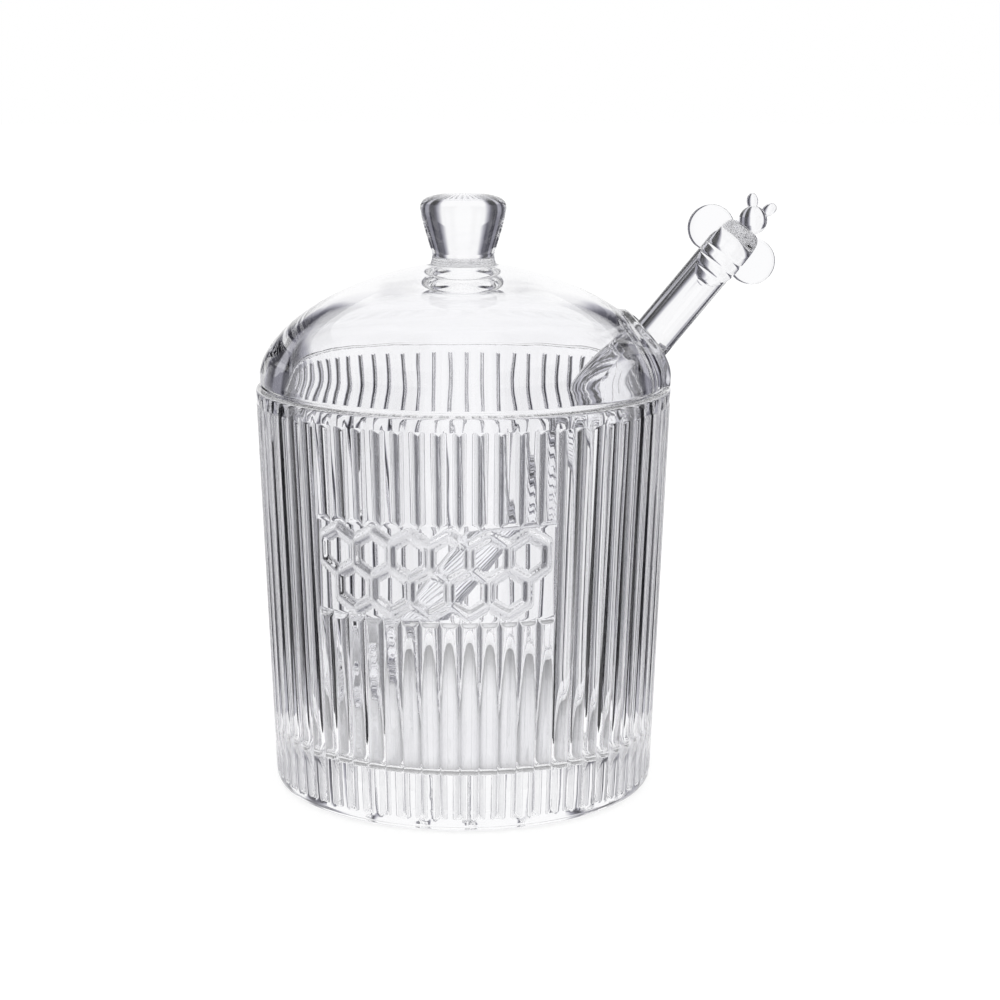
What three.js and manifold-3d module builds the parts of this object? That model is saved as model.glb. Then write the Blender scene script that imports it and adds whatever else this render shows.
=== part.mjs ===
// A clear pressed-glass honey pot: a reeded pot, a domed lid with a knob,
// and a glass dipper with a bee on its end.
// Millimetres, +Z up. The origin is the centre of the flat base. The front panel faces about -Y.
// The dipper leans towards +X and leaves through a slot in the lid's edge.
import * as THREE from 'three';
import { mergeVertices } from 'three/addons/utils/BufferGeometryUtils.js';
import Module from 'manifold-3d';

// Driving dimensions of the pot
const RIM_RADIUS = 50;
const FOOT_RADIUS = 46.2;
const POT_HEIGHT = 97.4;
const FOOT_CORNER = 2.4;
const RIM_CHAMFER = 0.5;
const FLOOR_HEIGHT = 12;
const MOUTH_RADIUS = 43.2;
const FLOOR_RADIUS = 41.6;
const FLOOR_FILLET = 4;

// Reeds: bars with flat tops and slanting flanks, flush with the foot band and the rim band.
// The shoulder is the share of half a reed's width that the flat top takes.
const RIB_COUNT = 66;
const RIB_DEPTH = 0.9;
const RIB_LOW_TIP = 3.2;
const RIB_HIGH_TIP = 94.2;
const RIB_END = 1.2;
const RIB_SHOULDER = 0.55;
const RIB_FACETS = 3;

// Front panel: a smooth recess across the reeds, with a raised honeycomb
const PANEL_TURN = THREE.MathUtils.degToRad(-9.2);
const PANEL_RIBS = 13;
const PANEL_LOW = 50.2;
const PANEL_HIGH = 72.2;
const CELL_SIDES = 6;
const CELL_SIDE = 5.3;
const CELLS_IN_ROW = [6, 5];
const BAR_WIDTH = 2.2;
const BAR_RISE = 0.9;
const BAR_SUNK = 0.8;

// Lid: a superellipse dome over a plain edge, nearly even in thickness, with a solid knob
const LID_GAP = 0.3;
const LID_RADIUS = 49;
const LID_EDGE_ROUND = 0.7;
const DOME_BASE = 100.8;
const DOME_RISE = 26.5;
const DOME_POWER = 1.706;
const HOLLOW_RADIUS = 42.9;
const HOLLOW_BASE = 99.5;
const HOLLOW_RISE = 22.8;
const HOLLOW_POWER = 2;

// Knob on the lid
const KNOB_TOP = 143.4;
const KNOB_BULGE_RADIUS = 10.3;
const KNOB_BULGE_HEIGHT = 139.8;
const KNOB_WAIST_RADIUS = 7.45;
const KNOB_WAIST_HEIGHT = 129.2;
const KNOB_SKIRT_RADIUS = 8.05;
const KNOB_TOP_POWER = 3;
const KNOB_SWELL_POWER = 1.25;
const KNOB_FLARE_POWER = 2;

// Slot in the lid's edge for the dipper, and the raised hood that borders it
const SLOT_CLEARANCE = 1.4;
const SLOT_REACH = 24;
const HOOD_WIDTH = 4.2;
const HOOD_RADIUS = 50;
const HOOD_RISE = 24;
const HOOD_POWER = 1.9;

// Dipper: a rod that leans on the mouth, with a ringed head below and a bee above.
// Places along the rod are measured from the point where it leaves the lid.
const ROD_RADIUS = 5.2;
const ROD_LEAN = THREE.MathUtils.degToRad(39.1);
const ROD_EXIT = new THREE.Vector3(45.6, 0, 109.1);
const ROD_TOP = 27;
const HEAD_RADIUS = 8.4;
const HEAD_LENGTH = 25;
const HEAD_RINGS = 5;
const HEAD_GROOVE = 1.1;
const HEAD_FLOOR_GAP = 0.3;

// Bee on the front of the rod's upper end
const BEE_FORWARD = 3.6;
const BEE_TAIL = 15;
const BEE_LENGTH = 19.2;
const BEE_RADIUS = 5;
const BEE_WIDEST = 0.45;
const BEE_BLUNT = 5;
const BEE_GROOVES = 7;
const BEE_GROOVED_SHARE = 0.62;
const BEE_GROOVE_DEPTH = 0.35;
const BEE_GROOVE_SHARPNESS = 8;
const BEE_HEAD_RADIUS = 3.4;
const BEE_HEAD_PLACE = 36.4;
const WING_RADIUS = 5.6;
const WING_THICKNESS = 1.4;
const WING_OUT = 6.3;
const WING_PLACE = 28.8;
const WING_FORWARD = 2;
const FEELER_LENGTH = 3.9;
const FEELER_WIDTH = 2.2;
const FEELER_THICKNESS = 1.5;
const FEELER_SUNK = 0.87;
const FEELER_SPREAD = THREE.MathUtils.degToRad(30);
const FEELER_LEAN = THREE.MathUtils.degToRad(-12);

// Facets
const HOLLOW_FACETS = 66;
const LID_FACETS = 44;
const ROD_FACETS = 22;
const BEE_FACETS = 14;
const FEELER_FACETS = 8;
const DOME_STEPS = 8;
const KNOB_STEPS = 6;
const KNOB_TOP_STEPS = 4;
const ARC_STEPS = 2;
const HEAD_STEPS_PER_RING = 4;
const BEE_STEPS_PER_GROOVE = 2;

// What the cutting shapes run past the faces that they cut, and how near two points are one
const OVERRUN = 3;
const WELD = 1e-4;

// Clear glass
const GLASS_COLOUR = 0xe9ecee;
const GLASS_ROUGHNESS = 0.05;

const RIB_PITCH = (2 * Math.PI) / RIB_COUNT;
const CELL_WIDTH = Math.sqrt(3) * CELL_SIDE;
const CELL_ROW_STEP = (3 * CELL_SIDE) / 2;
const LID_BOTTOM = POT_HEIGHT + LID_GAP;
const SLOT_RADIUS = ROD_RADIUS + SLOT_CLEARANCE;

const wasm = await Module();
wasm.setup();

// Solids from geometry, and back

function toSolid(geometry) {
  const bare = geometry.clone();
  bare.deleteAttribute('normal');
  bare.deleteAttribute('uv');
  const merged = mergeVertices(bare, WELD);
  const corners = merged.index.array;
  const triVerts = [];
  for (let i = 0; i < corners.length; i += 3) {
    const [a, b, c] = corners.slice(i, i + 3);
    if (a !== b && b !== c && c !== a) {
      triVerts.push(a, b, c);
    }
  }
  return new wasm.Manifold(new wasm.Mesh({
    numProp: 3,
    vertProperties: merged.attributes.position.array,
    triVerts: new Uint32Array(triVerts),
  }));
}

function toGeometry(solid) {
  const mesh = solid.getMesh();
  const geometry = new THREE.BufferGeometry();
  geometry.setAttribute('position', new THREE.BufferAttribute(new Float32Array(mesh.vertProperties), 3));
  geometry.setIndex(new THREE.BufferAttribute(new Uint32Array(mesh.triVerts), 1));
  geometry.computeVertexNormals();
  return geometry;
}

// A profile of radius and height turned about Z. The turn is 0 at the front, and grows towards +X.
function turned(profile, facets, startTurn = 0) {
  const points = profile.map(([radius, height]) => new THREE.Vector2(radius, height));
  return new THREE.LatheGeometry(points, facets, startTurn).rotateX(Math.PI / 2);
}

function moveVertices(geometry, move) {
  const place = geometry.attributes.position;
  const point = new THREE.Vector3();
  for (let i = 0; i < place.count; i += 1) {
    move(point.fromBufferAttribute(place, i));
    place.setXYZ(i, point.x, point.y, point.z);
  }
  return geometry;
}

function arc(centreRadius, centreHeight, size, from, to) {
  return Array.from({ length: ARC_STEPS + 1 }, (_, i) => {
    const angle = THREE.MathUtils.degToRad(from + ((to - from) * i) / ARC_STEPS);
    return [centreRadius + size * Math.cos(angle), centreHeight + size * Math.sin(angle)];
  });
}

function ramp(distance, length) {
  return THREE.MathUtils.clamp(distance / length, 0, 1);
}

// Pot

function wallRadius(height) {
  return FOOT_RADIUS + ((RIM_RADIUS - FOOT_RADIUS) * height) / POT_HEIGHT;
}

function valleyDepth(height) {
  return RIB_DEPTH * Math.min(ramp(height - RIB_LOW_TIP, RIB_END), ramp(RIB_HIGH_TIP - height, RIB_END));
}

function panelDepth(turn, height) {
  const ribsFromMiddle = Math.abs(turn - PANEL_TURN) / RIB_PITCH;
  if (ribsFromMiddle > PANEL_RIBS / 2) {
    return 0;
  }
  const rows = Math.min(height - PANEL_LOW, PANEL_HIGH - height);
  return RIB_DEPTH * ramp(rows + RIB_END, RIB_END);
}

// Moves the columns between two valleys to a reed's shoulders, and sinks the valleys and the panel
function carveReeds(point) {
  const radius = Math.hypot(point.x, point.y);
  const across = (Math.atan2(point.x, -point.y) - PANEL_TURN) / RIB_PITCH;
  const crest = Math.round(across);
  const onShoulder = Math.abs(across - crest) < 1 / RIB_FACETS;
  const place = onShoulder ? crest + (Math.sign(across - crest) * RIB_SHOULDER) / 2 : across;
  const turn = PANEL_TURN + place * RIB_PITCH;
  const onWall = radius > FOOT_RADIUS - FOOT_CORNER && point.z > RIB_LOW_TIP && point.z < RIB_HIGH_TIP;
  const reed = onShoulder ? 0 : valleyDepth(point.z);
  const carved = onWall ? radius - Math.max(reed, panelDepth(turn, point.z)) : radius;
  point.set(carved * Math.sin(turn), -carved * Math.cos(turn), point.z);
}

function potOutside() {
  const heights = [
    RIB_LOW_TIP, RIB_LOW_TIP + RIB_END,
    PANEL_LOW - RIB_END, PANEL_LOW, PANEL_HIGH, PANEL_HIGH + RIB_END,
    RIB_HIGH_TIP - RIB_END, RIB_HIGH_TIP, POT_HEIGHT - RIM_CHAMFER,
  ];
  const profile = [
    [0, 0],
    ...arc(wallRadius(FOOT_CORNER) - FOOT_CORNER, FOOT_CORNER, FOOT_CORNER, -90, 0),
    ...heights.map((height) => [wallRadius(height), height]),
    [RIM_RADIUS - RIM_CHAMFER, POT_HEIGHT],
    [0, POT_HEIGHT],
  ];
  const valleyTurn = PANEL_TURN + RIB_PITCH / 2;
  return moveVertices(turned(profile, RIB_COUNT * RIB_FACETS, valleyTurn), carveReeds);
}

function potHollow() {
  const draft = (MOUTH_RADIUS - FLOOR_RADIUS) / (POT_HEIGHT - FLOOR_HEIGHT);
  return turned([
    [0, FLOOR_HEIGHT],
    ...arc(FLOOR_RADIUS - FLOOR_FILLET, FLOOR_HEIGHT + FLOOR_FILLET, FLOOR_FILLET, -90, 0),
    [MOUTH_RADIUS + draft * OVERRUN, POT_HEIGHT + OVERRUN],
    [0, POT_HEIGHT + OVERRUN],
  ], HOLLOW_FACETS);
}

// The edges of the honeycomb on the flat, each with its middle and direction, shared edges once
function honeycombEdges() {
  const edges = new Map();
  CELLS_IN_ROW.forEach((count, row) => {
    const up = ((CELLS_IN_ROW.length - 1) / 2 - row) * CELL_ROW_STEP;
    for (let cell = 0; cell < count; cell += 1) {
      const across = (cell - (count - 1) / 2) * CELL_WIDTH;
      for (let side = 0; side < CELL_SIDES; side += 1) {
        const angle = (side * 2 * Math.PI) / CELL_SIDES;
        const middle = new THREE.Vector2(Math.cos(angle), Math.sin(angle));
        middle.multiplyScalar(CELL_WIDTH / 2).add(new THREE.Vector2(across, up));
        const key = `${middle.x.toFixed(2)} ${middle.y.toFixed(2)}`;
        edges.set(key, { middle, along: angle + Math.PI / 2 });
      }
    }
  });
  return [...edges.values()];
}

// One raised bar of the honeycomb, bent round the recessed panel
function honeycombBar({ middle, along }) {
  const mitre = BAR_WIDTH / Math.sqrt(3);
  const panelMiddle = (PANEL_LOW + PANEL_HIGH) / 2;
  const bar = new THREE.BoxGeometry(CELL_SIDE + mitre, BAR_WIDTH, BAR_RISE + BAR_SUNK);
  bar.translate(0, 0, (BAR_RISE - BAR_SUNK) / 2);
  bar.rotateZ(along);
  bar.translate(middle.x, middle.y, 0);
  return moveVertices(bar, (point) => {
    const height = panelMiddle + point.y;
    const radius = wallRadius(height) - RIB_DEPTH + point.z;
    const turn = PANEL_TURN + point.x / wallRadius(panelMiddle);
    point.set(radius * Math.sin(turn), -radius * Math.cos(turn), height);
  });
}

function potSolid() {
  const bars = honeycombEdges().map((edge) => toSolid(honeycombBar(edge)));
  const outside = bars.reduce((solid, bar) => solid.add(bar), toSolid(potOutside()));
  return outside.subtract(toSolid(potHollow()));
}

// Lid

function superellipse(radius, base, rise, power, from, to, steps) {
  return Array.from({ length: steps + 1 }, (_, i) => {
    const angle = from + ((to - from) * i) / steps;
    return [
      radius * Math.cos(angle) ** (2 / power),
      base + rise * Math.sin(angle) ** (2 / power),
    ];
  });
}

// The knob's radius between its skirt, where it flares to meet the dome, and its bulge
function knobRadius(height, skirtHeight) {
  if (height < KNOB_WAIST_HEIGHT) {
    const flare = ramp(KNOB_WAIST_HEIGHT - height, KNOB_WAIST_HEIGHT - skirtHeight) ** KNOB_FLARE_POWER;
    return KNOB_WAIST_RADIUS + (KNOB_SKIRT_RADIUS - KNOB_WAIST_RADIUS) * flare;
  }
  const share = ramp(height - KNOB_WAIST_HEIGHT, KNOB_BULGE_HEIGHT - KNOB_WAIST_HEIGHT);
  const swell = 1 - (1 - share) ** KNOB_SWELL_POWER;
  return KNOB_WAIST_RADIUS + (KNOB_BULGE_RADIUS - KNOB_WAIST_RADIUS) * swell;
}

function knobProfile(skirtHeight) {
  const side = Array.from({ length: KNOB_STEPS }, (_, i) => {
    const height = skirtHeight + ((KNOB_BULGE_HEIGHT - skirtHeight) * (i + 1)) / (KNOB_STEPS + 1);
    return [knobRadius(height, skirtHeight), height];
  });
  const rise = KNOB_TOP - KNOB_BULGE_HEIGHT;
  const top = superellipse(
    KNOB_BULGE_RADIUS, KNOB_BULGE_HEIGHT, rise, KNOB_TOP_POWER, 0, Math.PI / 2, KNOB_TOP_STEPS,
  );
  return [...side, ...top];
}

function lidOutside() {
  const skirtAngle = Math.acos((KNOB_SKIRT_RADIUS / LID_RADIUS) ** (DOME_POWER / 2));
  const dome = superellipse(LID_RADIUS, DOME_BASE, DOME_RISE, DOME_POWER, 0, skirtAngle, DOME_STEPS);
  const skirtHeight = dome[dome.length - 1][1];
  return turned([
    [0, LID_BOTTOM],
    [LID_RADIUS - LID_EDGE_ROUND, LID_BOTTOM],
    [LID_RADIUS, LID_BOTTOM + LID_EDGE_ROUND],
    ...dome,
    ...knobProfile(skirtHeight),
  ], LID_FACETS);
}

function lidHollow() {
  const dome = superellipse(
    HOLLOW_RADIUS, HOLLOW_BASE, HOLLOW_RISE, HOLLOW_POWER, 0, Math.PI / 2, DOME_STEPS,
  );
  return turned([
    [0, LID_BOTTOM - OVERRUN],
    [HOLLOW_RADIUS, LID_BOTTOM - OVERRUN],
    ...dome,
  ], LID_FACETS);
}

// A U-shaped prism along the rod, round above it and open towards the lid's edge
function slotPrism(radius) {
  const section = new THREE.Shape();
  section.moveTo(SLOT_REACH, -radius);
  section.lineTo(SLOT_REACH, radius);
  section.lineTo(0, radius);
  section.absarc(0, 0, radius, Math.PI / 2, (3 * Math.PI) / 2, false);
  const prism = new THREE.ExtrudeGeometry(section, {
    depth: 2 * SLOT_REACH,
    bevelEnabled: false,
    curveSegments: ROD_FACETS / 2,
  });
  prism.translate(0, 0, -SLOT_REACH).rotateY(ROD_LEAN);
  return toSolid(prism.translate(ROD_EXIT.x, ROD_EXIT.y, ROD_EXIT.z));
}

// The band of glass that stands proud of the dome along both sides of the slot and over it
function hoodSolid() {
  const shell = turned([
    [0, LID_BOTTOM],
    [HOOD_RADIUS - LID_EDGE_ROUND, LID_BOTTOM],
    [HOOD_RADIUS, LID_BOTTOM + LID_EDGE_ROUND],
    ...superellipse(HOOD_RADIUS, DOME_BASE, HOOD_RISE, HOOD_POWER, 0, Math.PI / 2, DOME_STEPS),
  ], LID_FACETS);
  return toSolid(shell).intersect(slotPrism(SLOT_RADIUS + HOOD_WIDTH));
}

function lidSolid() {
  const filled = toSolid(lidOutside()).add(hoodSolid());
  return filled.subtract(toSolid(lidHollow())).subtract(slotPrism(SLOT_RADIUS));
}

// Dipper, along its own Z, with its origin where the rod leaves the lid

// The place of the head's tip at which the leaning egg of the head just clears the pot's floor
function dipperTip() {
  const halfLength = HEAD_LENGTH / 2;
  const reachDown = Math.hypot(halfLength * Math.cos(ROD_LEAN), HEAD_RADIUS * Math.sin(ROD_LEAN));
  const headMiddle = FLOOR_HEIGHT + HEAD_FLOOR_GAP + reachDown;
  return -(ROD_EXIT.z - headMiddle) / Math.cos(ROD_LEAN) - halfLength;
}

function headRadius(share) {
  const egg = HEAD_RADIUS * Math.sqrt(Math.max(1 - (2 * share - 1) ** 2, 0));
  const groove = HEAD_GROOVE * Math.sin(Math.PI * HEAD_RINGS * share) ** 2;
  return Math.max(egg - (HEAD_GROOVE - groove) * Math.min(egg / HEAD_RADIUS, 1), 0);
}

function rodGeometry() {
  const tip = dipperTip();
  const steps = HEAD_RINGS * HEAD_STEPS_PER_RING;
  const head = [];
  for (let i = 1; i <= steps; i += 1) {
    const share = i / steps;
    const radius = headRadius(share);
    const pastMiddle = 2 * i > steps;
    if (pastMiddle && radius < ROD_RADIUS) {
      break;
    }
    head.push([radius, tip + HEAD_LENGTH * share]);
  }
  const neck = tip + HEAD_LENGTH;
  return turned([
    [0, tip],
    ...head,
    [ROD_RADIUS, neck],
    ...arc(0, ROD_TOP, ROD_RADIUS, 0, 90),
  ], ROD_FACETS);
}

function beeBody() {
  const steps = BEE_GROOVES * BEE_STEPS_PER_GROOVE;
  const profile = Array.from({ length: steps + 1 }, (_, i) => {
    const share = i / steps;
    const tail = Math.sin((Math.PI / 2) * ramp(share, BEE_WIDEST));
    const shoulder = (1 - ramp(share - BEE_WIDEST, 1 - BEE_WIDEST) ** BEE_BLUNT) ** (1 / BEE_BLUNT);
    const egg = BEE_RADIUS * tail * shoulder;
    const groove = BEE_GROOVE_DEPTH * Math.cos(Math.PI * BEE_GROOVES * share) ** BEE_GROOVE_SHARPNESS;
    const radius = share < BEE_GROOVED_SHARE ? egg - groove : egg;
    return [Math.max(radius, 0), BEE_TAIL + BEE_LENGTH * share];
  });
  profile[0][0] = 0;
  profile[steps][0] = 0;
  return turned(profile, BEE_FACETS).translate(0, -BEE_FORWARD, 0);
}

function beeHead() {
  const head = new THREE.SphereGeometry(BEE_HEAD_RADIUS, BEE_FACETS, BEE_FACETS / 2).rotateX(Math.PI / 2);
  return head.translate(0, -BEE_FORWARD, BEE_HEAD_PLACE);
}

function beeWing(side) {
  const wing = new THREE.CylinderGeometry(WING_RADIUS, WING_RADIUS, WING_THICKNESS, ROD_FACETS);
  return wing.translate(side * WING_OUT, -WING_FORWARD, WING_PLACE);
}

function beeFeeler(side) {
  const feeler = new THREE.SphereGeometry(1, FEELER_FACETS, FEELER_FACETS);
  feeler.scale(FEELER_WIDTH / 2, FEELER_THICKNESS / 2, FEELER_LENGTH / 2);
  feeler.translate(0, 0, BEE_HEAD_RADIUS + FEELER_LENGTH / 2 - FEELER_SUNK);
  feeler.rotateY(FEELER_LEAN + side * FEELER_SPREAD);
  return feeler.translate(0, -BEE_FORWARD, BEE_HEAD_PLACE);
}

function dipperSolid() {
  const pieces = [beeBody(), beeHead(), beeWing(-1), beeWing(1), beeFeeler(-1), beeFeeler(1)];
  return pieces.reduce((solid, piece) => solid.add(toSolid(piece)), toSolid(rodGeometry()));
}

// Scene graph

function glassMesh(name, solid) {
  const glass = new THREE.MeshStandardMaterial({
    color: GLASS_COLOUR,
    roughness: GLASS_ROUGHNESS,
    metalness: 0,
  });
  const mesh = new THREE.Mesh(toGeometry(solid), glass);
  mesh.name = name;
  return mesh;
}

const pot = glassMesh('pot', potSolid());
const lid = glassMesh('lid', lidSolid());
const dipper = glassMesh('dipper', dipperSolid());

const leaning = new THREE.Group();
leaning.position.copy(ROD_EXIT);
leaning.rotation.y = ROD_LEAN;
leaning.add(dipper);

const honeyPot = new THREE.Group();
honeyPot.add(pot, lid, leaning);

export default honeyPot;
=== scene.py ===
"""A clear pressed-glass honey pot: a reeded pot, a domed lid with a knob, and a glass dipper with a bee.

Every piece is built in metres in the frame of the solids: +Z up, origin at the centre of the flat base.
"""

import math

import bpy
import numpy as np
from bpy.props import FloatProperty, FloatVectorProperty, IntProperty, PointerProperty
from mathutils import Matrix, Vector


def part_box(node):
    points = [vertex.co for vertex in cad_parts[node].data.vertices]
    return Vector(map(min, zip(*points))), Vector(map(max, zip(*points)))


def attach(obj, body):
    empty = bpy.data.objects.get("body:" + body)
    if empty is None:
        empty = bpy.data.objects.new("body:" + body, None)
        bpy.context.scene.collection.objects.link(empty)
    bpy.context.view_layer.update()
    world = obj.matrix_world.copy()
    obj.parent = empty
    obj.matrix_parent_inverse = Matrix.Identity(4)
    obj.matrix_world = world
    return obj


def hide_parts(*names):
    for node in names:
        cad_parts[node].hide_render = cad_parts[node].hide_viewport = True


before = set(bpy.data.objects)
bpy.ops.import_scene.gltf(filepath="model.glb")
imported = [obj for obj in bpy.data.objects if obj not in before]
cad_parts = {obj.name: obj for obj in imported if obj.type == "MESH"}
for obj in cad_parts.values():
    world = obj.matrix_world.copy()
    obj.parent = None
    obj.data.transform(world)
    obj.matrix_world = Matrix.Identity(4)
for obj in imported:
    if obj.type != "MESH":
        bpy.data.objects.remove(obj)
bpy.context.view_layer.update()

bl_info = {
    "name": "Glass honey pot",
    "version": (1, 0, 0),
    "blender": (4, 5, 0),
    "location": "3D View > Sidebar > Honey pot",
    "description": "Makes a reeded glass honey pot with its lid and dipper",
    "category": "Mesh",
}

MM = 0.001
FULL_TURN = 2 * math.pi
QUARTER_TURN = math.pi / 2
QUARTER_DEGREES = 90
WHITE = (1, 1, 1, 1)
POT_LOW, POT_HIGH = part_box("pot")
LID_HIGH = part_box("lid")[1]

# How finely each surface is divided
RIB_COLUMNS = 14
PANEL_RIB_COLUMNS = 18
PANEL_ROWS = 52
RIB_END_ROWS = 8
ARC_ROWS = 6
INNER_WALL_ROWS = 4
LID_CIRCLE_COLUMNS = 300
NOTCH_SIDE_COLUMNS = 16
NOTCH_ARC_COLUMNS = 40
PROFILE_SAMPLES = 1500
DOME_ROWS = 40
HOLLOW_ROWS = 34
KNOB_SIDE_ROWS = 28
KNOB_TOP_ROWS = 24
BISECTIONS = 40
ROD_COLUMNS = 64
HEAD_ROWS = 70
BEE_COLUMNS = 48
BEE_ROWS = 180
BEE_HEAD_ROWS = 60
FEELER_COLUMNS = 24
STAGE_COLUMNS = 180

# Times that the lid's columns are averaged, and the angle from which an edge of the dipper stays sharp
COLUMN_SOFTENING = 3
ROUNDING_SOFTENING = 6
SHARP_DEGREES = 50

# Sides of a cell of the honeycomb
CELL_SIDES = 6

# Noises of the glass, the part of the polish noise that dulls it, and how each piece stretches them
STREAK_SCALE = 45.0
STREAK_DETAIL = 3.0
POLISH_SCALE = 160.0
POLISH_DETAIL = 4.0
POLISH_RANGE = (0.45, 0.75)
WAVE_SCALE = 90.0
WAVE_DETAIL = 1.0
POT_GRAIN = (1.0, 1.0, 0.35)
LID_GRAIN = (0.8, 0.8, 0.8)
DIPPER_GRAIN = (1.2, 1.2, 1.2)

# Times that light may pass a glass surface, and be mirrored by it
GLASS_BOUNCES = 32
GLOSSY_BOUNCES = 16

# Brightness of the light tent at turns from straight before or behind the pot, in degrees
TOP_TONES = (
    (0, 1.0), (17, 1.0), (21, 0.5), (25, 0.15), (38, 0.06), (41, 0.3), (49, 0.3), (52, 0.06), (60, 0.06),
    (65, 0.5), (71, 0.9), (90, 0.95),
)
UPPER_TONES = (
    (0, 1.0), (20, 1.0), (24, 0.5), (28, 0.15), (31, 0.06), (38, 0.06), (41, 0.35), (49, 0.35), (52, 0.06),
    (60, 0.06), (65, 0.5), (71, 0.9), (90, 0.95),
)
LOWER_TONES = (
    (0, 1.0), (21, 1.0), (24, 0.5), (27, 0.1), (30, 0.01), (38, 0.01), (41, 0.6), (49, 0.6), (52, 0.01),
    (79, 0.01), (82, 0.8), (90, 1.0),
)


def length(name, description, millimetres):
    """A size that a user may change."""
    return FloatProperty(
        name=name, description=description, default=millimetres * MM, min=0.0, precision=4, unit="LENGTH"
    )


def angle(name, description, degrees):
    """An angle that a user may change."""
    return FloatProperty(
        name=name, description=description, default=math.radians(degrees), subtype="ANGLE", unit="ROTATION"
    )


def number(name, description, default):
    """A plain number that a user may change."""
    return FloatProperty(name=name, description=description, default=default, precision=4)


def count(name, description, default):
    """A whole number that a user may change."""
    return IntProperty(name=name, description=description, default=default, min=1)


def colour(name, description, default):
    """A colour that a user may change."""
    return FloatVectorProperty(
        name=name, description=description, default=default, subtype="COLOR", size=3, min=0.0, max=1.0
    )


class PotSettings(bpy.types.PropertyGroup):
    """Sizes of the reeded pot."""

    rim_radius: length("Rim radius", "Outer radius at the rim", (POT_HIGH.x - POT_LOW.x) / 2 / MM)
    foot_radius: length("Foot radius", "Outer radius at the foot", 46.2)
    height: length("Height", "Height of the rim over the base", POT_HIGH.z / MM)
    foot_corner: length("Foot corner", "Rounding of the foot's lower edge", 2.4)
    rim_round: length("Rim rounding", "Rounding of the rim's edges", 0.5)
    mouth_radius: length("Mouth radius", "Inner radius at the rim", 43.2)
    floor_radius: length("Floor radius", "Inner radius at the floor", 41.6)
    floor_height: length("Floor height", "Thickness of the base", 12)
    floor_fillet: length("Floor fillet", "Rounding between the floor and the inner wall", 4)
    rib_count: count("Reeds", "Reeds round the pot", 66)
    rib_depth: length("Reed depth", "Depth of the valleys between the reeds", 0.9)
    rib_power: number("Reed fullness", "How flat the reeds are on top, and how steep at their sides", 4.0)
    rib_low_tip: length("Lower tips", "Height of the reeds' lower tips", 3.2)
    rib_high_tip: length("Upper tips", "Height of the reeds' upper tips", 94.2)
    rib_end: length("Reed ends", "Length over which a reed's end runs out", 1.2)
    panel_turn: angle("Panel turn", "Turn of the panel's middle from the front", -9.2)
    panel_ribs: count("Panel width", "Reeds that the panel takes the place of", 13)
    panel_low: length("Panel bottom", "Height of the panel's lower edge", 50.2)
    panel_high: length("Panel top", "Height of the panel's upper edge", 72.2)
    cell_side: length("Cell side", "Side of a honeycomb cell", 5.3)
    upper_cells: count("Upper cells", "Cells in the honeycomb's upper row", 6)
    lower_cells: count("Lower cells", "Cells in the honeycomb's lower row", 5)
    bar_width: length("Bar width", "Width of the honeycomb's bars", 2.2)
    bar_rise: length("Bar rise", "Height of the honeycomb's bars over the panel", 0.9)


class LidSettings(bpy.types.PropertyGroup):
    """Sizes of the domed lid, its knob and its notch."""

    radius: length("Radius", "Radius of the lid's edge", 49)
    gap: length("Gap", "Gap between the rim and the lid", 0.3)
    edge_round: length("Edge rounding", "Rounding of the lid's lower edge", 0.7)
    dome_base: length("Dome base", "Height at which the dome starts", 100.8)
    dome_rise: length("Dome rise", "Rise of the dome over its base", 26.5)
    dome_power: number("Dome power", "Fullness of the dome", 1.706)
    hollow_radius: length("Hollow radius", "Inner radius of the dome", 42.9)
    hollow_base: length("Hollow base", "Height at which the hollow's dome starts", 99.5)
    hollow_rise: length("Hollow rise", "Rise of the hollow over its base", 22.8)
    hollow_power: number("Hollow power", "Fullness of the hollow", 2.0)
    knob_top: length("Knob top", "Height of the knob's top", LID_HIGH.z / MM)
    bulge_radius: length("Knob radius", "Radius of the knob at its widest", 10.3)
    bulge_height: length("Knob bulge height", "Height of the knob's widest ring", 139.8)
    waist_radius: length("Knob waist", "Radius of the knob at its narrowest", 7.45)
    waist_height: length("Knob waist height", "Height of the knob's narrowest ring", 129.2)
    skirt_radius: length("Knob skirt", "Radius at which the knob meets the dome", 8.05)
    swell_power: number("Knob swell power", "How soon the knob swells over its waist", 1.25)
    top_power: number("Knob top power", "Fullness of the knob's top", 3.0)
    flare_power: number("Knob flare power", "How late the knob's foot flares", 2.0)
    notch_clearance: length("Notch clearance", "Room round the rod in the notch", 1.4)
    notch_round: length("Notch rounding", "Rounding of the notch's edges", 1.5)
    hood_width: length("Border width", "Width of the raised border round the notch", 4.2)
    hood_rise: length("Border rise", "Height of the raised border", 1.0)
    hood_soft: length("Border softness", "Width over which the border fades into the dome", 1.6)


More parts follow.
